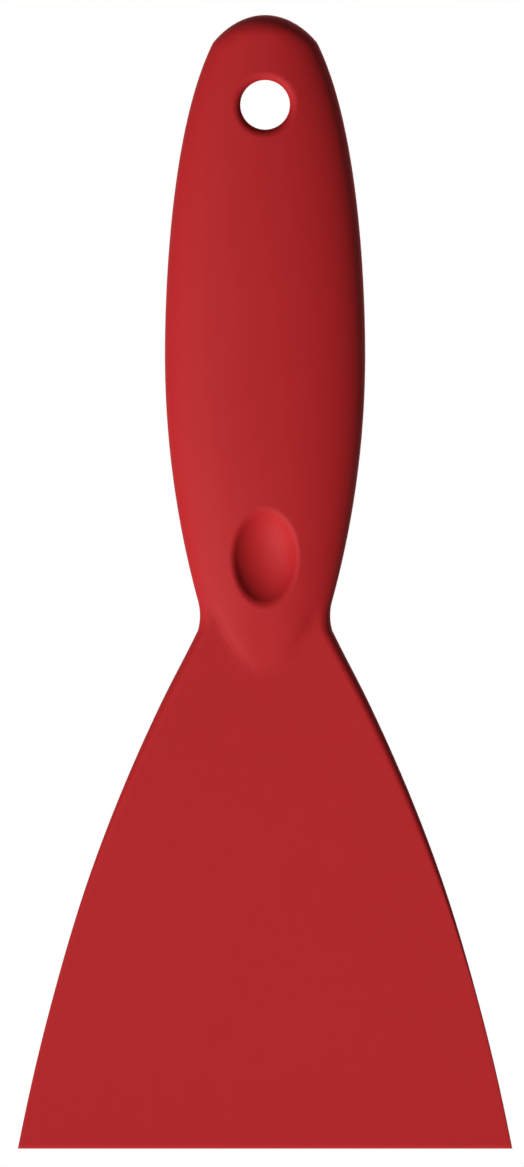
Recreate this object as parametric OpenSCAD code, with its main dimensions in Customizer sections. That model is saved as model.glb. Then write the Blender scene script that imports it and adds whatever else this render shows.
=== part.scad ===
// Bowl scraper in one colour of polypropylene, hung from a hole in its handle.
// Two shots of plastic make it: a blade whose tang reaches up inside the grip, and a grip moulded round
// that tang. The origin is the middle of the hanging hole. +Z is up and the front face looks along -Y.
// Heights are given as distances below the top of the handle.

/* [Blade] */
// Length of the whole scraper, from the top of the handle to the scraping edge
overall_length = 252.2; // [235:0.2:280]
// Width of the scraping edge
edge_width = 110; // [90:0.5:126]
// Thickness of the blade where it leaves the handle
root_thickness = 5.6; // [4.8:0.1:6.4]
// Thickness of the blade just above its edge bevel
edge_thickness = 0.9; // [0.7:0.05:1.6]
// Hollowness of the blade's taper, where 1 is a straight wedge
edge_hollow = 1.4; // [1:0.05:1.8]
// Height of the small bevel that sharpens the scraping edge
edge_bevel = 0.6; // [0.3:0.1:1.2]
// Lean of the blade's sides at the shoulder, in degrees from vertical
shoulder_lean = 26; // [20:0.5:32]
// Lean of the blade's sides at the edge, in degrees from vertical
edge_lean = 11; // [6:0.5:16]
// Distance from the narrowest point of the neck down to the blade's shoulders
neck_to_shoulder = 3.3; // [2.5:0.1:4.5]

/* [Handle] */
// Widest part of the handle
handle_width = 44.6; // [38:0.2:52]
// How far down the handle is widest
belly_from_top = 75.6; // [68:0.2:84]
// Radius of the handle's round top end
top_radius = 13.6; // [12:0.1:16]
// Part of a quarter turn that the round top end covers, in degrees
top_sweep = 65.5; // [58:0.5:70]
// Width of the neck between handle and blade
neck_width = 29; // [27:0.2:32]
// How far down the neck is narrowest
neck_from_top = 133.6; // [129:0.2:138]
// Radius of the hollow of the neck
neck_radius = 12.2; // [9:0.2:16]
// Thickness of the handle at its fullest
handle_thickness = 17.5; // [15.5:0.1:22]
// How far down the handle is thickest
fullest_from_top = 64; // [58:0.5:74]
// Thickness of the handle at its top end
top_thickness = 10; // [9.4:0.1:10.2]
// Length over which the top end is rounded off, front to back
top_rounding = 9; // [6:0.5:11]
// Thickness of the handle at the neck
neck_thickness = 9.4; // [8.8:0.1:10.4]
// How far the tongue runs down over the blade, from the narrowest point of the neck
tongue_length = 12.9; // [10:0.1:16]
// Fullness of the tongue's tip, where more is blunter
tongue_fullness = 1.44; // [1.25:0.01:1.6]
// Squareness of the handle's section, where 2 is an ellipse
squareness = 2.15; // [2:0.05:2.5]

/* [Hanging hole] */
// Diameter of the hanging hole
hole_dia = 11; // [9:0.1:12.5]
// How far down the middle of the hole sits
hole_from_top = 20; // [18:0.1:22]
// Radius of the rounding round both rims of the hole
rim_radius = 1.7; // [1:0.1:2.2]

/* [Thumb dimple] */
// Width of the dimple in each face
dimple_width = 16; // [13.5:0.1:17]
// Length of the dimple in each face
dimple_length = 22.4; // [20:0.1:24]
// Depth of the dimple in each face
dimple_depth = 3.6; // [2.6:0.1:4]
// How far down the middle of the dimple sits
dimple_from_top = 120.6; // [117:0.1:122]

/* [Tang inside the grip] */
// Width of the tang
tang_width = 19; // [17:0.2:21]
// Thickness of the tang over its rails
tang_thickness = 6.4; // [5.8:0.1:6.8]
// Thickness of the web between the rails
web_thickness = 3; // [2:0.1:3.6]
// Width of the rails and of the ribs between the cells
rail_width = 3; // [2.4:0.1:3.8]
// How far down the tang begins
tang_from_top = 38; // [34:0.5:42]
// Number of cells above the one behind the dimples
cell_count = 4; // [2:1:6]
// Diameter of the holes that lock the grip to the tang
lock_dia = 7; // [5:0.2:8]

/* [Hidden] */
red = [0.68, 0.16, 0.17];
belly_w = handle_width / 2;
neck_w = neck_width / 2;
top_end = [top_radius * (1 - cos(top_sweep)), top_radius * sin(top_sweep)];
side_run = belly_from_top - top_end[0];
side_pull = 0.34 * side_run;
belly_pull = 0.12 * side_run;
neck_run = neck_from_top - belly_from_top;
waist = belly_w - neck_w;
lower_radius = (neck_run * neck_run + waist * waist) / (2 * waist) - neck_radius;
lower_sweep = asin(neck_run / (lower_radius + neck_radius));
shoulder_from_top = neck_from_top + neck_to_shoulder;
root_half = root_thickness / 2;
// Where the grip's sides turn in under the tongue and the blade's sides take over
turn_in = [
    belly_from_top + lower_radius * sin(lower_sweep),
    belly_w - lower_radius * (1 - cos(lower_sweep))
];
tongue_tip = neck_from_top + tongue_length;
tongue_slope = (neck_thickness - blade_thickness_at(tongue_tip)) / 2 / tongue_length;
tongue_run = tongue_fullness * (tongue_tip - turn_in[0]);
tongue_drift = tan(lower_sweep) * tongue_run;
// The blade's root starts above the turn, inside the grip, and breaks out through its sides below it
root_top = turn_in[0] - 1.8;
breakout = turn_in[0] + 1.2;
tang_bottom = root_top + 0.6;
cell_half = tang_width / 2 - rail_width;
cells_top = tang_from_top + tang_width / 2;
cells_bottom = dimple_from_top - dimple_length / 2 - rail_width / 2;
cell_pitch = (cells_bottom - cells_top) / cell_count;
wall_half = thickness_at(hole_from_top) / 2 - rim_radius;
tongue_curl = 2.5;
// Points round a section of the grip, and steps round one side of the blade
ring_points = 40;
side_steps = 8;
// Longer than anything that a cut has to reach through
far = 60;
$fn = 96;

function height(from_top) = hole_from_top - from_top;

function curve(a, b, c, d, t) =
    pow(1 - t, 3) * a + 3 * pow(1 - t, 2) * t * b + 3 * (1 - t) * t * t * c + pow(t, 3) * d;

function signed_pow(v, p) = sign(v) * pow(abs(v), p);

// Thickness down the middle of the handle: a slow rise to the fullest point, a fall to the neck and then
// a straight ramp down the tongue
function thickness_at(s) =
    let (fall = neck_from_top - fullest_from_top)
    let (u = (s - fullest_from_top) / fall, m = 2 * tongue_slope * fall)
    let (drop = handle_thickness - neck_thickness)
    s < fullest_from_top
    ? handle_thickness - (handle_thickness - top_thickness) * pow(1 - s / fullest_from_top, 2)
    : s < neck_from_top
    ? handle_thickness - (3 * drop - m) * u * u + (2 * drop - m) * pow(u, 3)
    : neck_thickness - 2 * tongue_slope * (s - neck_from_top);

// Lean of the handle's face at one height, in degrees from upright
function lean_at(s) = atan((thickness_at(s + 0.5) - thickness_at(s - 0.5)) / 2);

function top_round(s) =
    s < top_rounding
    ? pow(1 - pow(1 - s / top_rounding, squareness), 1 / squareness)
    : 1;

// The grip's own outline, as distances below the top and half widths
grip_outline = concat(
    [for (i = [1:9]) let (a = top_sweep * i / 9) [top_radius * (1 - cos(a)), top_radius * sin(a)]],
    [for (i = [1:18]) curve(
        top_end,
        top_end + side_pull * [sin(top_sweep), cos(top_sweep)],
        [belly_from_top - belly_pull, belly_w],
        [belly_from_top, belly_w],
        i / 18
    )],
    [for (i = [1:9]) let (a = lower_sweep * i / 9)
        [belly_from_top + lower_radius * sin(a), belly_w - lower_radius * (1 - cos(a))]],
    [for (i = [1:14]) let (t = i / 16)
        turn_in + [tongue_run * t, -tongue_drift * t - (turn_in[1] - tongue_drift) * pow(t, tongue_curl)]]
);

function neck_out(s) = neck_w + neck_radius - sqrt(pow(neck_radius, 2) - pow(s - neck_from_top, 2));

shoulder = [shoulder_from_top, neck_out(shoulder_from_top)];
blade_corner = [overall_length, edge_width / 2];
flare_pull = [0.19, 0.55] * (overall_length - shoulder_from_top);

function blade_thickness_at(s) =
    s < shoulder_from_top
    ? root_thickness
    : edge_thickness + (root_thickness - edge_thickness)
        * pow((overall_length - s) / (overall_length - shoulder_from_top), edge_hollow);

function flare(t) = curve(
    shoulder,
    shoulder + flare_pull[0] * [cos(shoulder_lean), sin(shoulder_lean)],
    blade_corner - flare_pull[1] * [cos(edge_lean), sin(edge_lean)],
    blade_corner,
    t
);

// The blade's outline, as distances below the top, half widths and half thicknesses
blade_outline = concat(
    [[root_top, tang_width / 2, root_half]],
    [for (i = [0:4]) let (s = breakout + (shoulder_from_top - breakout) * i / 4)
        [s, neck_out(s), root_half]],
    [for (i = [1:23]) let (p = flare(i / 24)) [p[0], p[1], blade_thickness_at(p[0]) / 2]],
    [
        [overall_length - edge_bevel, edge_width / 2 - edge_bevel * tan(edge_lean), edge_thickness / 2],
        [overall_length, edge_width / 2, edge_thickness / 4]
    ]
);

function oval_ring(s, w, h) = [for (i = [0:ring_points - 1]) let (a = 360 * i / ring_points)
    [w * signed_pow(cos(a), 2 / squareness), h * signed_pow(sin(a), 2 / squareness), height(s)]];

function flat_ring(s, w, h) = [for (side = [1, -1], i = [0:side_steps]) let (a = 180 * i / side_steps - 90)
    [side * (w - h + h * cos(a)), side * h * sin(a), height(s)]];

// A skin over rings of equal point counts, given from the top down, closed by a point at each end
module loft(rings, top, bottom) {
    n = len(rings[0]);
    m = len(rings);
    points = concat([for (r = rings, p = r) p], [top, bottom]);
    sides = [for (j = [0:m - 2], i = [0:n - 1]) let (k = (i + 1) % n, a = j * n, b = a + n)
        each [[a + i, a + k, b + k], [a + i, b + k, b + i]]];
    ends = [for (i = [0:n - 1]) let (k = (i + 1) % n, b = (m - 1) * n)
        each [[m * n, k, i], [m * n + 1, b + i, b + k]]];
    polyhedron(points = points, faces = concat(sides, ends), convexity = 6);
}

module grip_body() {
    last = grip_outline[len(grip_outline) - 1][0];
    loft(
        [for (p = grip_outline) oval_ring(p[0], p[1], thickness_at(p[0]) * top_round(p[0]) / 2)],
        [0, 0, height(0)],
        [0, 0, height(last)]
    );
}

module blade_plate() {
    loft(
        [for (p = blade_outline) flat_ring(p[0], p[1], p[2])],
        [0, 0, height(blade_outline[0][0])],
        [0, 0, height(overall_length)]
    );
}

// A block across the tang, between two distances below the top
module slab(half, thickness, from, to) {
    translate([-half, -thickness / 2, height(to)])
        cube([2 * half, thickness, to - from]);
}

module across(from_top, dia, length) {
    translate([0, 0, height(from_top)])
        rotate([90, 0, 0])
            cylinder(d = dia, h = length, center = true);
}

module cell(from, to) {
    for (side = [1, -1])
        translate([0, side * (web_thickness + far) / 2, 0])
            slab(cell_half, far, from, to);
    across((from + to) / 2, lock_dia, far);
}

module tang() {
    difference() {
        union() {
            slab(tang_width / 2, tang_thickness, cells_top, tang_bottom);
            across(cells_top, tang_width, tang_thickness);
        }
        across(cells_top - rail_width / 2, lock_dia, far);
        for (i = [1:cell_count - 1])
            cell(cells_top + i * cell_pitch + rail_width / 2, cells_top + (i + 1) * cell_pitch - rail_width / 2);
        cell(cells_bottom + rail_width / 2, tang_bottom + 1);
    }
}

module hanging_hole() {
    across(hole_from_top, hole_dia, far);
    for (side = [0, 1])
        mirror([0, side, 0])
            translate([0, -wall_half, 0])
                rotate([90 - lean_at(hole_from_top), 0, 0])
                    rotate_extrude()
                        difference() {
                            square([hole_dia / 2 + rim_radius, far]);
                            translate([hole_dia / 2 + rim_radius, 0])
                                circle(r = rim_radius);
                        }
}

// The dimple is scooped by a ring of round section, which leaves an oval with a steep, crisp rim
module dimples() {
    across_radius = (pow(dimple_width / 2, 2) + pow(dimple_depth, 2)) / (2 * dimple_depth);
    along_radius = (pow(dimple_length / 2, 2) + pow(dimple_depth, 2)) / (2 * dimple_depth);
    for (side = [0, 1])
        mirror([0, side, 0])
            translate([0, -thickness_at(dimple_from_top) / 2, height(dimple_from_top)])
                rotate([-lean_at(dimple_from_top), 0, 0])
                    translate([0, dimple_depth - along_radius, 0])
                        rotate([0, 90, 0])
                            rotate_extrude()
                                intersection() {
                                    translate([along_radius - across_radius, 0])
                                        circle(r = across_radius);
                                    translate([0, -far / 2])
                                        square(far);
                                }
}

module blade() {
    color(red)
        union() {
            blade_plate();
            tang();
        }
}

module handle() {
    color(red)
        difference() {
            grip_body();
            blade_plate();
            tang();
            hanging_hole();
            dimples();
        }
}

blade();
handle();
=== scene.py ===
# %% [markdown]
# # A red bowl scraper, from one moulded grip and one flared blade
#
# The tool hangs upright from the hole in its handle, and the middle of that hole is the origin.
# On the real object a thin wedge of polypropylene is moulded first, with a tang at its upper end,
# and the grip is moulded round the tang in the same plastic, so the two look like one piece.
# This lesson shapes each of them as one smooth skin and then lights it as in a product picture.

import math

import bmesh
import bpy
import numpy as np
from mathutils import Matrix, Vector


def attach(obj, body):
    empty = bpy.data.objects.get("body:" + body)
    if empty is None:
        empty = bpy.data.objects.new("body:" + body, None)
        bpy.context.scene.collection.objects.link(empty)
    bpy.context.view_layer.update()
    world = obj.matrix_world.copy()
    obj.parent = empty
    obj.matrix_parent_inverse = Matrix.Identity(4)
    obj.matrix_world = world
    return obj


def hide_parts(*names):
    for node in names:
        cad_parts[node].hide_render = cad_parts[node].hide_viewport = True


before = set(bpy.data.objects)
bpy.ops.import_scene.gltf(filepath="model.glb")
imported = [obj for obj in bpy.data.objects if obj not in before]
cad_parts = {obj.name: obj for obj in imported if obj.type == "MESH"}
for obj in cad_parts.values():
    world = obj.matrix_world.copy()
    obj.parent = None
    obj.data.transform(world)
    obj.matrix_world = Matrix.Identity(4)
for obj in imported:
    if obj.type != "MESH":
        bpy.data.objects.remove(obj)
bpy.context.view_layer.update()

# %% [markdown]
# ## Sizes
#
# All sizes are in millimetres, and heights are distances below the top of the handle, because that is
# how the picture is read. They are turned into metres and into heights above the hole at the end.
# A lean is the angle at which a curve leaves a point, and a pull is how far it follows that angle.

# %% Sizes of the scraper
MM = 0.001
LENGTH = 252.2
EDGE_WIDTH = 110.0
HOLE_FROM_TOP = 20.0
HOLE_RADIUS = 5.5
RIM = 2.0

TOP_CORNER = (6.2, 11.6)
TOP_LEAN, SIDE_LEAN = math.radians(39), math.radians(26.5)
TOP_PULL, CORNER_PULL = 4.3, 5
SIDE_PULL, BELLY_PULL = 0.32, 0.16
BELLY, BELLY_HALF = 75.6, 22.3
NECK, NECK_HALF, NECK_RADIUS = 133.6, 14.5, 12.2
SHOULDER = 136.9
SHOULDER_LEAN, EDGE_LEAN = math.radians(26), math.radians(11)
SHOULDER_PULL, EDGE_PULL = 0.19, 0.55

FULLEST, THICK = 64.0, 17.5
TOP_THICK, NECK_THICK = 10.0, 9.4
TOP_ROUNDING = 4.7
SQUARENESS = 2.15
TONGUE_SQUARENESS = 3.5

ROOT_THICK, EDGE_THICK, EDGE_BEVEL, EDGE_HOLLOW = 5.6, 0.9, 0.6, 1.4
TONGUE_TIP = NECK + 12.9
DIMPLE, DIMPLE_HALF_WIDTH, DIMPLE_HALF_LENGTH = 120.75, 7.26, 10.6
print("handle", 2 * BELLY_HALF, "mm wide, blade", EDGE_WIDTH, "mm wide,", LENGTH, "mm long")

# %% [markdown]
# ## The outline, seen from the front
#
# The top end is a full, low arch that meets the sides at a slight corner. From there one Bezier curve
# swells to the belly, a long arc runs in to the neck, and a short hollow arc turns out again to the
# blade's shoulders. A second Bezier curve gives the blade's sides their slight outward bow. Each curve is
# sampled finely once, and any width is then read off by interpolation.


# %% Curves of the outline
def bezier(a, b, c, d, t):
    a, b, c, d = (np.array(p, float) for p in (a, b, c, d))
    return (1 - t) ** 3 * a + 3 * (1 - t) ** 2 * t * b + 3 * (1 - t) * t * t * c + t**3 * d


SIDE_RUN = BELLY - TOP_CORNER[0]
WAIST = BELLY_HALF - NECK_HALF
LOWER_RADIUS = ((NECK - BELLY) ** 2 + WAIST**2) / (2 * WAIST) - NECK_RADIUS
LOWER_SWEEP = math.asin((NECK - BELLY) / (LOWER_RADIUS + NECK_RADIUS))
TURN_IN = (
    BELLY + LOWER_RADIUS * math.sin(LOWER_SWEEP),
    BELLY_HALF - LOWER_RADIUS * (1 - math.cos(LOWER_SWEEP)),
)


def from_corner(reach, lean):
    """A point at a distance from the top corner, in the direction in which a curve leaves it."""
    return TOP_CORNER[0] + reach * math.cos(lean), TOP_CORNER[1] + reach * math.sin(lean)


def top_arch(t):
    return tuple(bezier((0, 0), (0, TOP_PULL), from_corner(-CORNER_PULL, TOP_LEAN), TOP_CORNER, t))


cap = [top_arch(t) for t in np.linspace(0, 1, 81)]
side = [
    tuple(
        bezier(
            TOP_CORNER,
            from_corner(SIDE_PULL * SIDE_RUN, SIDE_LEAN),
            (BELLY - BELLY_PULL * SIDE_RUN, BELLY_HALF),
            (BELLY, BELLY_HALF),
            t,
        )
    )
    for t in np.linspace(0, 1, 200)[1:]
]
lower = [
    (BELLY + LOWER_RADIUS * math.sin(a), BELLY_HALF - LOWER_RADIUS * (1 - math.cos(a)))
    for a in np.linspace(0, LOWER_SWEEP, 200)[1:]
]
GRIP_S, GRIP_W = (np.array(v) for v in zip(*(cap + side + lower)))


def neck_half_width(s):
    return NECK_HALF + NECK_RADIUS - math.sqrt(NECK_RADIUS**2 - (s - NECK) ** 2)


BLADE_RUN = LENGTH - SHOULDER
flare_start = (SHOULDER, neck_half_width(SHOULDER))
flare = [
    tuple(
        bezier(
            flare_start,
            (
                SHOULDER + SHOULDER_PULL * BLADE_RUN * math.cos(SHOULDER_LEAN),
                flare_start[1] + SHOULDER_PULL * BLADE_RUN * math.sin(SHOULDER_LEAN),
            ),
            (
                LENGTH - EDGE_PULL * BLADE_RUN * math.cos(EDGE_LEAN),
                EDGE_WIDTH / 2 - EDGE_PULL * BLADE_RUN * math.sin(EDGE_LEAN),
            ),
            (LENGTH, EDGE_WIDTH / 2),
            t,
        )
    )
    for t in np.linspace(0, 1, 200)
]
FLARE_S, FLARE_W = (np.array(v) for v in zip(*flare))


def outline_half_width(s):
    """Half the width of the whole scraper at a distance below its top."""
    if s <= TURN_IN[0]:
        return float(np.interp(s, GRIP_S, GRIP_W))
    if s <= SHOULDER:
        return neck_half_width(s)
    return float(np.interp(s, FLARE_S, FLARE_W))


print("neck", round(2 * outline_half_width(NECK), 2), "mm, shoulders", round(2 * flare_start[1], 2), "mm")

# %% [markdown]
# ## How thick each part is
#
# The grip's section is close to an ellipse. Down its middle it starts thin at the hanging hole, is fullest
# a quarter of the way down and falls to the neck. Below the neck it carries on as a tongue, a little
# squarer in section, that is tucked in at its sides and sinks slowly into the blade. The blade is a hollow
# wedge with rounded sides. The rounding is a half circle on its upper half and gets shallower below, so its
# dark rim narrows and fades out towards the edge.


# %% Thickness of the grip and of the blade
def blade_half_thickness(s):
    if s <= SHOULDER:
        return ROOT_THICK / 2
    return (EDGE_THICK + (ROOT_THICK - EDGE_THICK) * ((LENGTH - s) / BLADE_RUN) ** EDGE_HOLLOW) / 2


TONGUE_SLOPE = (NECK_THICK / 2 - blade_half_thickness(TONGUE_TIP)) / (TONGUE_TIP - NECK)


def grip_half_thickness(s):
    if s < FULLEST:
        thick = THICK - (THICK - TOP_THICK) * (1 - s / FULLEST) ** 2
    elif s < NECK:
        fall, drop = NECK - FULLEST, THICK - NECK_THICK
        u, m = (s - FULLEST) / fall, 2 * TONGUE_SLOPE * fall
        thick = THICK - (3 * drop - m) * u * u + (2 * drop - m) * u**3
    else:
        thick = NECK_THICK - 2 * TONGUE_SLOPE * (s - NECK)
    if s < TOP_ROUNDING:
        thick *= (1 - (1 - s / TOP_ROUNDING) ** SQUARENESS) ** (1 / SQUARENESS)
    return thick / 2


TONGUE_FULLNESS = 1.44
TONGUE_RUN = TONGUE_FULLNESS * (TONGUE_TIP - TURN_IN[0])
TONGUE_DRIFT = math.tan(LOWER_SWEEP) * TONGUE_RUN
TUCK, TUCK_START, TUCK_END = 0.9, 4.2, 8
SQUARE_RUN = 9
PLATE_FROM, PLATE_FADE = 121, 9
SWELL, SWELL_FROM, SWELL_RISE, SWELL_TO, SWELL_FALL = 0.24, 139, 14, 188, 34
SIDE_LOSS, SIDE_FROM, SIDE_RUN = 0.75, 180, 46


def smooth_step(t):
    t = min(max(t, 0.0), 1.0)
    return t * t * (3 - 2 * t)


def squareness_at(s):
    return SQUARENESS + (TONGUE_SQUARENESS - SQUARENESS) * smooth_step((s - TURN_IN[0]) / SQUARE_RUN)


def border_at(n, s):
    """Where a section of squareness n sinks into the blade's face, as a part of its half width."""
    sunk = min(blade_half_thickness(s) / grip_half_thickness(s), 0.9)
    return (1 - sunk**n) ** (1 / n)


def blade_half_width(s):
    """The outline's half width, a little fuller from under the shoulder to the lower third."""
    rise, fall = smooth_step((s - SWELL_FROM) / SWELL_RISE), smooth_step((s - SWELL_TO) / SWELL_FALL)
    return outline_half_width(s) + SWELL * rise * (1 - fall)


def side_depth(s):
    """How far the blade's rounded side reaches in, as a part of its half thickness there."""
    return 1 - SIDE_LOSS * smooth_step((s - SIDE_FROM) / SIDE_RUN)


def tongue_half_width(s):
    """Half width of the grip's own body, which turns in under the tongue where the blade takes over."""
    if s <= TURN_IN[0]:
        return outline_half_width(s)
    t = (s - TURN_IN[0]) / TONGUE_RUN
    w = TURN_IN[1] - TONGUE_DRIFT * t - (TURN_IN[1] - TONGUE_DRIFT) * t**2.5
    w -= TUCK * smooth_step((s - TURN_IN[0]) / TUCK_START) * smooth_step((TONGUE_TIP - 0.5 - s) / TUCK_END)
    return max(w, 0.0) * border_at(SQUARENESS, s) / border_at(squareness_at(s), s)


def crown(x, s):
    """Height of the grip's own crowned face above the middle plane."""
    w, n = tongue_half_width(s), squareness_at(s)
    if w <= 0 or abs(x) >= w:
        return 0.0
    return grip_half_thickness(s) * (1 - (abs(x) / w) ** n) ** (1 / n)


def plate(x, s):
    """Height of the blade's face, which fades in from above the neck, inside the grip."""
    h, w = blade_half_thickness(s), outline_half_width(s)
    past = abs(x) - (w - h)
    if past <= 0:
        height = h
    elif past < h:
        height = math.sqrt(h * h - past * past)
    else:
        return 0.0
    return height * smooth_step((s - PLATE_FROM) / PLATE_FADE)


print("grip at the hole", round(2 * grip_half_thickness(HOLE_FROM_TOP), 2), "mm, at the neck", NECK_THICK)

# %% [markdown]
# ## One skin over grip and blade root
#
# In the picture the tongue runs out into the blade with a soft fillet and no seam. A smooth maximum of the
# two heights gives exactly that: away from the meeting line each surface keeps its own height, and near
# it they run together. The fillet is kept about as wide everywhere by scaling the blend with the angle
# between the two surfaces. The dimple and the rims of the hole are then taken off the same skin: the
# dimple is part of a ball, drawn out lengthwise, and a rim is a quarter round.

# %% Height of the finished skin
FILLET = 1.3
TAIL = 1.8
BALL = 1.13
LIP_START, LIP_END = 0.9, 1.1


def rise(x, s):
    """How far the crowned face stands above the blade's, and on below it at the same slope."""
    face = max(plate(x, s), 0.05)
    top = crown(x, s)
    if top >= face:
        return top - face
    w, n = max(tongue_half_width(s), 0.5), squareness_at(s)
    power = grip_half_thickness(s) ** n * (1 - (abs(x) / w) ** n)
    return (power - face**n) / (n * face ** (n - 1))


def fillet_reach(x, s):
    step = 0.1
    across = rise(x + step, s) - rise(x - step, s)
    along = rise(x, s + step) - rise(x, s - step)
    return min(FILLET * math.hypot(across, along) / (2 * step), 0.8 * plate(x, s))


def blended(x, s):
    if s < PLATE_FROM:
        return crown(x, s)
    up, k = rise(x, s), fillet_reach(x, s)
    height = max(crown(x, s), plate(x, s))
    if k < 1e-6 or up >= k or up <= -TAIL * k:
        return height
    if up > 0:
        return height + k / 4 * (1 - up / k) ** 2
    return height + k / 4 * (1 + up / (TAIL * k)) ** (2 * TAIL)


def dimple_cut(x, s):
    """A bowl that is part of a ball, and a lip that rolls over from it to the skin."""
    out = math.hypot(x / DIMPLE_HALF_WIDTH, (s - DIMPLE) / DIMPLE_HALF_LENGTH)
    if out >= LIP_END:
        return 0.0
    rise_at_lip = math.sqrt(BALL**2 - LIP_START**2)
    roll = (LIP_END - max(out, LIP_START)) ** 2 / (2 * (LIP_END - LIP_START)) * LIP_START / rise_at_lip
    bowl = math.sqrt(BALL**2 - min(out, LIP_START) ** 2) - rise_at_lip
    return DIMPLE_HALF_WIDTH * (roll + bowl)


def rim_cut(x, s):
    out = math.hypot(x, s - HOLE_FROM_TOP) - HOLE_RADIUS
    if out >= RIM:
        return 0.0
    return RIM - math.sqrt(max(RIM * RIM - (RIM - max(out, 0.0)) ** 2, 0.0))


def skin(x, s):
    return max(blended(x, s) - dimple_cut(x, s) - rim_cut(x, s), 0.0)


print("dimple floor", round(skin(0, DIMPLE), 2), "mm from the middle plane")

# %% [markdown]
# ## The grip
#
# A sphere with many rings is a closed skin with a point at each end, which is what the grip is. Its rings
# become stations down the handle and its meridians become points round the section, crowded towards
# the thin sides where the surface turns fastest. Below the neck the rings draw in round the tongue and end
# inside the blade.

# %% Rows of the grip
SKIN_START, SKIN_END = 133.4, 149.6
SINK, SINK_FROM, SINK_RUN = 0.006, 126, 9
DEEP_SINK, DEEP_FROM, DEEP_RUN = 0.03, 130, 2


def skin_half_width(s):
    if s <= SKIN_START:
        return outline_half_width(s)
    t = min((s - SKIN_START) / (SKIN_END - SKIN_START), 1.0)
    return NECK_HALF * (1 - t**1.5) ** 0.75


def side_point(x, s):
    """Height of a point of the skin, which sinks under the blade's own face once the fillet has run out."""
    w = skin_half_width(s)
    if abs(x) >= w * (1 - 1e-7):
        return 0.0
    if s < SINK_FROM:
        return skin(x, s)
    past = -rise(x, s) / max(fillet_reach(x, s), 1e-6) - TAIL
    sink = SINK * smooth_step((s - SINK_FROM) / SINK_RUN)
    sink += DEEP_SINK * smooth_step((s - DEEP_FROM) / DEEP_RUN) * smooth_step(past / 2)
    return max(skin(x, s) - sink, 0.0)


rows = [top_arch(t)[0] for t in np.linspace(0, 1, 21)[1:]]
rows += list(np.linspace(rows[-1], 106, 100)[1:])
rows += list(np.linspace(106, SKIN_END, 90)[1:-1])
ROUND = 168
print(len(rows), "rows of", ROUND, "points")

# %% Shape the sphere into the grip
grip = bmesh.new()
column = grip.verts.layers.int.new("column")
turned = grip.verts.layers.float.new("turned")
bmesh.ops.create_uvsphere(grip, u_segments=ROUND, v_segments=len(rows) + 1, radius=1.0)
for v in grip.verts:
    j = round(math.acos(max(-1.0, min(1.0, v.co.z))) / math.pi * (len(rows) + 1))
    i = round(math.atan2(v.co.y, v.co.x) / (2 * math.pi) * ROUND) % ROUND
    s = 0.0 if j == 0 else SKIN_END if j == len(rows) + 1 else rows[j - 1]
    turn = 2 * math.pi * i / ROUND
    w = 0.0 if j in (0, len(rows) + 1) else skin_half_width(s)
    v.co = Vector((w * math.cos(turn), 8 * math.sin(turn), -s))
    v[column] = i + 1
print(len(grip.verts), "points after the sphere is stretched")

# %% [markdown]
# ## Openings for the hole and the dimples
#
# Rows and columns don't follow a round hole or an oval dimple, and a crisp rim needs edges that do. So a
# patch of the skin is taken out, a circle with as many points as the patch's border is set in its middle,
# and rings are extruded from it. The border and the outermost ring are then bridged.


# %% Set rings into the skin
def open_patch(face_side, s_from, s_to, reach):
    """Takes a patch out of one face and returns the edges of its border."""
    middle = 1 + (ROUND * 3 // 4 if face_side < 0 else ROUND // 4)
    for f in grip.faces:
        f.tag = all(
            v.co.y * face_side > 0 and abs(v[column] - middle) <= reach and s_from <= -v.co.z <= s_to
            for v in f.verts
        )
    border = [e for e in grip.edges if sum(f.tag for f in e.link_faces) == 1]
    bmesh.ops.delete(grip, geom=[f for f in grip.faces if f.tag], context="FACES")
    return border


def circle_ring(bm, points):
    """A new ring of points, and the edges between them."""
    ring = bmesh.ops.create_circle(bm, segments=points, radius=1.0)["verts"]
    for v in bm.verts:
        v.tag = False
    for v in ring:
        v.tag = True
    return ring, [e for e in bm.edges if e.verts[0].tag and e.verts[1].tag]


def next_ring(bm, edges):
    """Extrudes a ring once and returns the new ring's points and edges."""
    made = bmesh.ops.extrude_edge_only(bm, edges=edges)["geom"]
    ring = [g for g in made if isinstance(g, bmesh.types.BMVert)]
    for v in bm.verts:
        v.tag = False
    for v in ring:
        v.tag = True
    return ring, [e for e in bm.edges if e.verts[0].tag and e.verts[1].tag]


def set_rings(face_side, s_from, s_to, reach, centre, half_width, half_length, radii, closed):
    border = open_patch(face_side, s_from, s_to, reach)
    ring, edges = circle_ring(grip, len(border))
    outer = edges
    for v in ring:
        v[turned] = math.atan2(v.co.y, v.co.x)
    for k, r in enumerate(radii):
        if k > 0:
            ring, edges = next_ring(grip, edges)
        for v in ring:
            x, up = half_width * r * math.cos(v[turned]), half_length * r * math.sin(v[turned])
            v.co = Vector((x, 8 * face_side, up - centre))
    if closed:
        bmesh.ops.pointmerge(grip, verts=ring, merge_co=Vector((0, 8 * face_side, -centre)))
    for e in grip.edges:
        e.tag = False
    for e in border + outer:
        e.tag = True
    bridge = bmesh.ops.bridge_loops(grip, edges=border + outer)
    across = []
    for e in [e for f in bridge["faces"] for e in f.edges]:
        if not e.tag:
            e.tag = True
            across.append(e)
    bmesh.ops.subdivide_edges(grip, edges=across, cuts=3, use_grid_fill=True)
    return len(border)


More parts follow.
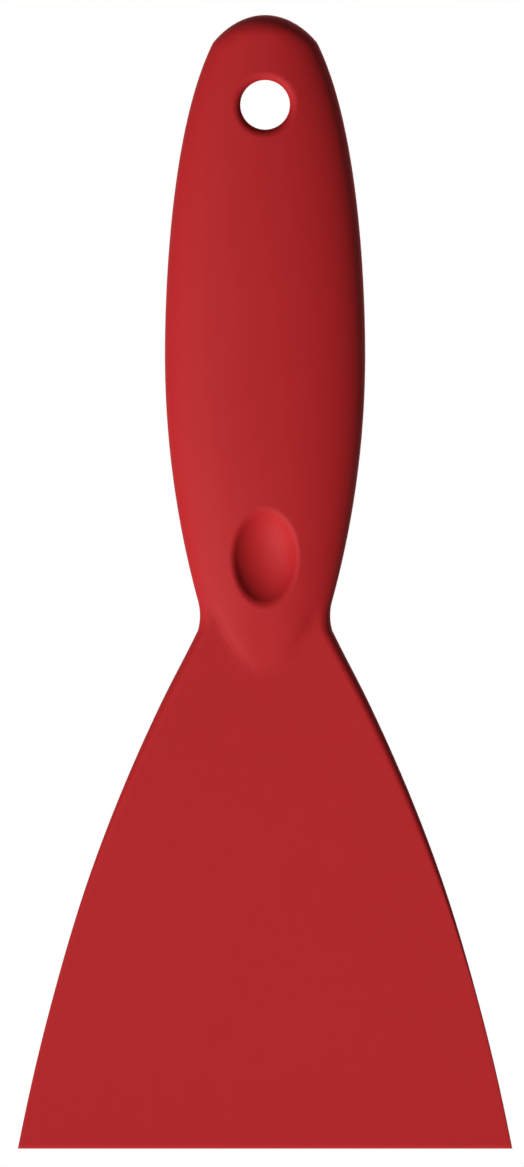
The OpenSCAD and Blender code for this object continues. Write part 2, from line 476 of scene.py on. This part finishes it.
HOLE_RINGS = [1.55, 1.45, 1.39, 1.36, 1.32, 1.27, 1.22, 1.17, 1.12, 1.08, 1.05, 1.025, 1.008, 1.0]
DIMPLE_RINGS = [1.2, 1.15, 1.12, 1.1, 1.08, 1.06, 1.04, 1.02, 1.0, 0.98, 0.96, 0.94, 0.92, 0.907, 0.893]
DIMPLE_RINGS += [0.875, 0.85, 0.82, 0.785, 0.745, 0.7, 0.64, 0.57, 0.49, 0.4, 0.3, 0.2, 0.1, 0.03]
for face_side in (-1, 1):
    hole = set_rings(face_side, 9.5, 30.5, 20, HOLE_FROM_TOP, HOLE_RADIUS, HOLE_RADIUS, HOLE_RINGS, False)
    dimple = set_rings(
        face_side, 106.5, 134.8, 17, DIMPLE, DIMPLE_HALF_WIDTH, DIMPLE_HALF_LENGTH, DIMPLE_RINGS, True
    )
print("rings of", hole, "points at the hole and", dimple, "at the dimples")

# %% [markdown]
# ## Raise the skin
#
# Every point now knows where it lies seen from the front. Its height above the middle plane comes from the
# one height rule, so the grip, its rims, the dimples and the fillet all share one continuous surface. The
# wall of the hole is bridged last, between its two open rims.

# %% Raise the grip and close the hole
for v in grip.verts:
    face_side = -1 if v.co.y < 0 else 1
    v.co.y = face_side * side_point(v.co.x, -v.co.z)
bmesh.ops.bridge_loops(grip, edges=[e for e in grip.edges if e.is_boundary])
bmesh.ops.translate(grip, verts=grip.verts, vec=(0, 0, HOLE_FROM_TOP))
bmesh.ops.scale(grip, verts=grip.verts, vec=(MM, MM, MM))
bmesh.ops.recalc_face_normals(grip, faces=grip.faces)
print(len(grip.faces), "faces, open edges:", sum(e.is_boundary for e in grip.edges))


# %% Turn a built shape into a named piece
def piece(name, bm, *nodes):
    mesh = bpy.data.meshes.new(name)
    bm.to_mesh(mesh)
    bm.free()
    mesh.polygons.foreach_set("use_smooth", [True] * len(mesh.polygons))
    obj = bpy.data.objects.new(name, mesh)
    bpy.context.scene.collection.objects.link(obj)
    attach(obj, "root")
    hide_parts(*nodes)
    return obj


grip_obj = piece("moulded_grip", grip, "handle")
print("grip", [round(1000 * d, 1) for d in grip_obj.dimensions], "mm")

# %% [markdown]
# ## The blade
#
# The blade is one ring of points, a flat-sided oval, extruded from station to station. Each station has its
# own width and thickness, so the plate flares and thins at once. Extra points beside each rounded side hold
# the faces flat, and close stations hold the corner of the shoulder and the bevel of the edge.

# %% Extrude the blade from its root to its edge
SIDE_STEPS = 24
FLAT_STEPS = [0.985, 0.9, 0.6, 0.2, -0.2, -0.6, -0.9, -0.985]
section = [("side", 1, math.pi * i / SIDE_STEPS - math.pi / 2) for i in range(SIDE_STEPS + 1)]
section += [("flat", 1, f) for f in FLAT_STEPS]
section += [("side", -1, math.pi / 2 - math.pi * i / SIDE_STEPS) for i in range(SIDE_STEPS + 1)]
section += [("flat", -1, -f) for f in FLAT_STEPS]

ROOT_TOP = TURN_IN[0] - 1.8
stations = [(ROOT_TOP, 9.5, ROOT_THICK / 2), (ROOT_TOP + 1.2, 11.6, ROOT_THICK / 2)]
stations.append((131.8, outline_half_width(131.8) - 0.3, ROOT_THICK / 2 - 0.01))
for s in [132.6, 132.9, 133.2, 133.6, 134.0, 134.4, 134.8, 135.2, 135.6, 136.0, 136.3, 136.6, 136.85]:
    stations.append((s, outline_half_width(s), ROOT_THICK / 2))
for s in [136.9, 136.95, 137.3, *np.linspace(138, LENGTH - EDGE_BEVEL - 0.35, 90)]:
    stations.append((s, blade_half_width(s), blade_half_thickness(s)))
bevel_top = LENGTH - EDGE_BEVEL
for s, h in [
    (bevel_top - 0.03, EDGE_THICK / 2),
    (bevel_top + 0.03, 0.49 * EDGE_THICK),
    (LENGTH - 0.02, 0.26 * EDGE_THICK),
    (LENGTH, 0.25 * EDGE_THICK),
]:
    stations.append((s, EDGE_WIDTH / 2 - (LENGTH - s) * math.tan(EDGE_LEAN), h))


def section_point(kind, face, t, w, h, r):
    if kind == "side":
        return face * (w - r + r * math.cos(t)), h * math.sin(t)
    return t * (w - r), face * h


blade = bmesh.new()
place = blade.verts.layers.int.new("place")
ring, edges = circle_ring(blade, len(section))
for k, v in enumerate(sorted(ring, key=lambda v: math.atan2(v.co.y, v.co.x))):
    v[place] = k
first = edges
for k, (s, w, h) in enumerate(stations):
    if k > 0:
        ring, edges = next_ring(blade, edges)
    for v in ring:
        kind, face, t = section[v[place]]
        x, y = section_point(kind, face, t, w, h, h * side_depth(s))
        v.co = Vector((x, y, -s))
for rim in (first, edges):
    bmesh.ops.contextual_create(blade, geom=rim)
    for e in rim:
        e.smooth = False
bmesh.ops.translate(blade, verts=blade.verts, vec=(0, 0, HOLE_FROM_TOP))
bmesh.ops.scale(blade, verts=blade.verts, vec=(MM, MM, MM))
print(len(stations), "stations of", len(section), "points")

# %% [markdown]
# ## The tang
#
# The blade's upper end is hidden inside the grip: a web with rails and ribs that the second shot of plastic
# grips. Its flat faces and round holes are already exact in the measured frame, so that part of the frame's
# blade is copied, cut off just above the root and closed.

# %% Add the tang to the blade
tang = bmesh.new()
tang.from_mesh(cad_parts["blade"].data)
bmesh.ops.remove_doubles(tang, verts=tang.verts, dist=1e-6)
bmesh.ops.bisect_plane(
    tang,
    geom=tang.verts[:] + tang.edges[:] + tang.faces[:],
    plane_co=(0, 0, (HOLE_FROM_TOP - ROOT_TOP) * MM + 0.00005),
    plane_no=(0, 0, -1),
    clear_outer=True,
)
bmesh.ops.holes_fill(tang, edges=[e for e in tang.edges if e.is_boundary], sides=0)
tang_mesh = bpy.data.meshes.new("tang")
tang.to_mesh(tang_mesh)
tang.free()
smooth_faces = len(blade.faces)
blade.from_mesh(tang_mesh)
bpy.data.meshes.remove(tang_mesh)
bmesh.ops.recalc_face_normals(blade, faces=blade.faces)
blade_obj = piece("flared_blade", blade, "blade")
flags = [k < smooth_faces for k in range(len(blade_obj.data.polygons))]
blade_obj.data.polygons.foreach_set("use_smooth", flags)
print("blade", [round(1000 * d, 1) for d in blade_obj.dimensions], "mm")

# %% [markdown]
# ## Red polypropylene
#
# Moulded polypropylene is evenly coloured through, with a satin sheen from the fine spark-eroded grain of
# the mould. Three faint layers make it real up close: cloudy drift in the red where the melt flowed,
# a change in roughness at the size of a fingertip, and the grain itself as a very shallow bump. The blade
# adds hair-fine scuffs near the scraping edge, where it has met bowls and benches.


# %% Make the two finishes
def polypropylene(name, grain_scale, scuffed):
    mat = bpy.data.materials.new(name)
    mat.use_nodes = True
    nodes, links = mat.node_tree.nodes, mat.node_tree.links
    shader = nodes["Principled BSDF"]
    shader.inputs["IOR"].default_value = 1.49
    shader.inputs["Specular IOR Level"].default_value = 0.24
    coords = nodes.new("ShaderNodeTexCoord")

    def noise(scale, detail):
        n = nodes.new("ShaderNodeTexNoise")
        n.inputs["Scale"].default_value = scale
        n.inputs["Detail"].default_value = detail
        links.new(coords.outputs["Object"], n.inputs["Vector"])
        return n.outputs["Fac"]

    drift = nodes.new("ShaderNodeMix")
    drift.data_type = "RGBA"
    drift.inputs["A"].default_value = (0.38, 0.009, 0.011, 1)
    drift.inputs["B"].default_value = (0.39, 0.0095, 0.0115, 1)
    links.new(noise(34, 3), drift.inputs["Factor"])
    links.new(drift.outputs["Result"], shader.inputs["Base Color"])

    rough = nodes.new("ShaderNodeMapRange")
    rough.inputs["To Min"].default_value = 0.66
    rough.inputs["To Max"].default_value = 0.73
    links.new(noise(110, 4), rough.inputs["Value"])
    rough_out = rough.outputs["Result"]

    bump = nodes.new("ShaderNodeBump")
    bump.inputs["Strength"].default_value = 0.1
    bump.inputs["Distance"].default_value = 0.00004
    links.new(noise(grain_scale, 2), bump.inputs["Height"])
    links.new(bump.outputs["Normal"], shader.inputs["Normal"])

    if scuffed:
        stretch = nodes.new("ShaderNodeMapping")
        stretch.inputs["Scale"].default_value = (900, 900, 40)
        links.new(coords.outputs["Object"], stretch.inputs["Vector"])
        lines = nodes.new("ShaderNodeTexNoise")
        lines.inputs["Scale"].default_value = 1.0
        lines.inputs["Detail"].default_value = 3
        links.new(stretch.outputs["Vector"], lines.inputs["Vector"])
        parts = nodes.new("ShaderNodeSeparateXYZ")
        links.new(coords.outputs["Object"], parts.inputs["Vector"])
        near_edge = nodes.new("ShaderNodeMapRange")
        near_edge.inputs["From Min"].default_value = -0.2
        near_edge.inputs["From Max"].default_value = -0.2322
        links.new(parts.outputs["Z"], near_edge.inputs["Value"])
        scuff = nodes.new("ShaderNodeMath")
        scuff.operation = "MULTIPLY"
        links.new(lines.outputs["Fac"], scuff.inputs[0])
        links.new(near_edge.outputs["Result"], scuff.inputs[1])
        worn = nodes.new("ShaderNodeMath")
        worn.operation = "MULTIPLY_ADD"
        worn.inputs[1].default_value = 0.08
        links.new(scuff.outputs["Value"], worn.inputs[0])
        links.new(rough_out, worn.inputs[2])
        rough_out = worn.outputs["Value"]
    links.new(rough_out, shader.inputs["Roughness"])
    return mat


grip_obj.data.materials.append(polypropylene("Grained grip red", 3200, False))
blade_obj.data.materials.append(polypropylene("Blade red with edge scuffs", 4200, True))
print("finishes:", [m.name for o in (grip_obj, blade_obj) for m in o.data.materials])

# %% [markdown]
# ## Studio
#
# The picture has a pure white ground, one key light from low on the left and very little fill, so that
# the right and top edges go dark and the left of the neck is brightest. The tool hangs well above a
# pale floor. A lamp straight behind it lights only what the front view can't see. The white of the floor
# and of the world is there for the camera and for reflections, and adds little light.

# %% Floor, backdrop and lights
FLOOR_BELOW, FLOOR_HALF, FLOOR_GLOW = 3.6, 6, 0.85
FILL, WHITE = 0.066, 1.0
floor_mesh = bpy.data.meshes.new("Pale floor")
floor_bm = bmesh.new()
bmesh.ops.create_grid(floor_bm, x_segments=1, y_segments=1, size=FLOOR_HALF)
bmesh.ops.translate(floor_bm, verts=floor_bm.verts, vec=(0, 0, -FLOOR_BELOW))
floor_bm.to_mesh(floor_mesh)
floor_bm.free()
floor = bpy.data.objects.new("Pale floor", floor_mesh)
bpy.context.scene.collection.objects.link(floor)
floor_mat = bpy.data.materials.new("Pale floor")
floor_mat.use_nodes = True
paint = floor_mat.node_tree.nodes["Principled BSDF"]
paint.inputs["Base Color"].default_value = (0.9, 0.9, 0.9, 1)
paint.inputs["Roughness"].default_value = 0.9
paint.inputs["Emission Color"].default_value = (1, 1, 1, 1)
floor.data.materials.append(floor_mat)


def seen_directly(tree):
    """1 for rays from the camera and for mirrored or transmitted ones, 0 for the rays that carry light."""
    path = tree.nodes.new("ShaderNodeLightPath")
    value = path.outputs["Is Camera Ray"]
    for kind in ("Is Glossy Ray", "Is Transmission Ray"):
        either = tree.nodes.new("ShaderNodeMath")
        either.operation = "MAXIMUM"
        tree.links.new(value, either.inputs[0])
        tree.links.new(path.outputs[kind], either.inputs[1])
        value = either.outputs["Value"]
    return value


glow = floor_mat.node_tree.nodes.new("ShaderNodeMath")
glow.operation = "MULTIPLY"
glow.inputs[1].default_value = FLOOR_GLOW
floor_mat.node_tree.links.new(seen_directly(floor_mat.node_tree), glow.inputs[0])
floor_mat.node_tree.links.new(glow.outputs["Value"], paint.inputs["Emission Strength"])

world = bpy.data.worlds.new("Studio")
bpy.context.scene.world = world
world.use_nodes = True
tree = world.node_tree
ambient = tree.nodes["Background"]
ambient.inputs["Color"].default_value = (1, 1, 1, 1)
ambient.inputs["Strength"].default_value = FILL
white = tree.nodes.new("ShaderNodeBackground")
white.inputs["Color"].default_value = (1, 1, 1, 1)
white.inputs["Strength"].default_value = WHITE
pick = tree.nodes.new("ShaderNodeMixShader")
tree.links.new(seen_directly(tree), pick.inputs["Fac"])
tree.links.new(ambient.outputs["Background"], pick.inputs[1])
tree.links.new(white.outputs["Background"], pick.inputs[2])
tree.links.new(pick.outputs["Shader"], tree.nodes["World Output"].inputs["Surface"])

TARGET = Vector((0, 0, -0.106))


def lamp(name, direction, distance, size, power):
    data = bpy.data.lights.new(name, "AREA")
    data.shape = "DISK"
    data.size = size
    data.energy = power
    obj = bpy.data.objects.new(name, data)
    bpy.context.scene.collection.objects.link(obj)
    toward = Vector(direction).normalized()
    obj.location = TARGET + toward * distance
    obj.rotation_euler = (-toward).to_track_quat("-Z", "Y").to_euler()
    return obj


key = lamp("Key, low left", (-0.54, -0.67, -0.51), 5.0, 0.6, 306)
back = lamp("Behind", (0.05, 1.0, 0.12), 4.0, 2.4, 115)
for light in (key, back):
    print(light.name, [round(c, 2) for c in light.location])

# %% [markdown]
# ## Camera
#
# The picture shows no perspective: the wall of the hole can't be seen on any side. So the camera is an
# orthographic one that looks straight at the front, and its frame is as tall as the picture's.

# %% Camera straight on
PICTURE_WIDTH, PICTURE_HEIGHT = 524, 1167
EDGE_PIXELS, AXIS_PIXEL, TOP_PIXEL = 494.5, 265.1, 14.9
PIXEL = EDGE_WIDTH / EDGE_PIXELS * MM
FRAME_HEIGHT = PICTURE_HEIGHT * PIXEL
CAMERA_DISTANCE = 1.0
cam_data = bpy.data.cameras.new("Straight on")
cam_data.type = "ORTHO"
cam_data.ortho_scale = FRAME_HEIGHT
cam = bpy.data.objects.new("Straight on", cam_data)
bpy.context.scene.collection.objects.link(cam)
centre_x = (PICTURE_WIDTH / 2 - AXIS_PIXEL) * PIXEL
centre_z = HOLE_FROM_TOP * MM - (PICTURE_HEIGHT / 2 - TOP_PIXEL) * PIXEL
cam.location = (centre_x, -CAMERA_DISTANCE, centre_z)
cam.rotation_euler = (math.pi / 2, 0, 0)
bpy.context.scene.camera = cam
bpy.context.scene.view_settings.view_transform = "Standard"
print("the frame shows", round(1000 * FRAME_HEIGHT, 1), "mm of height")
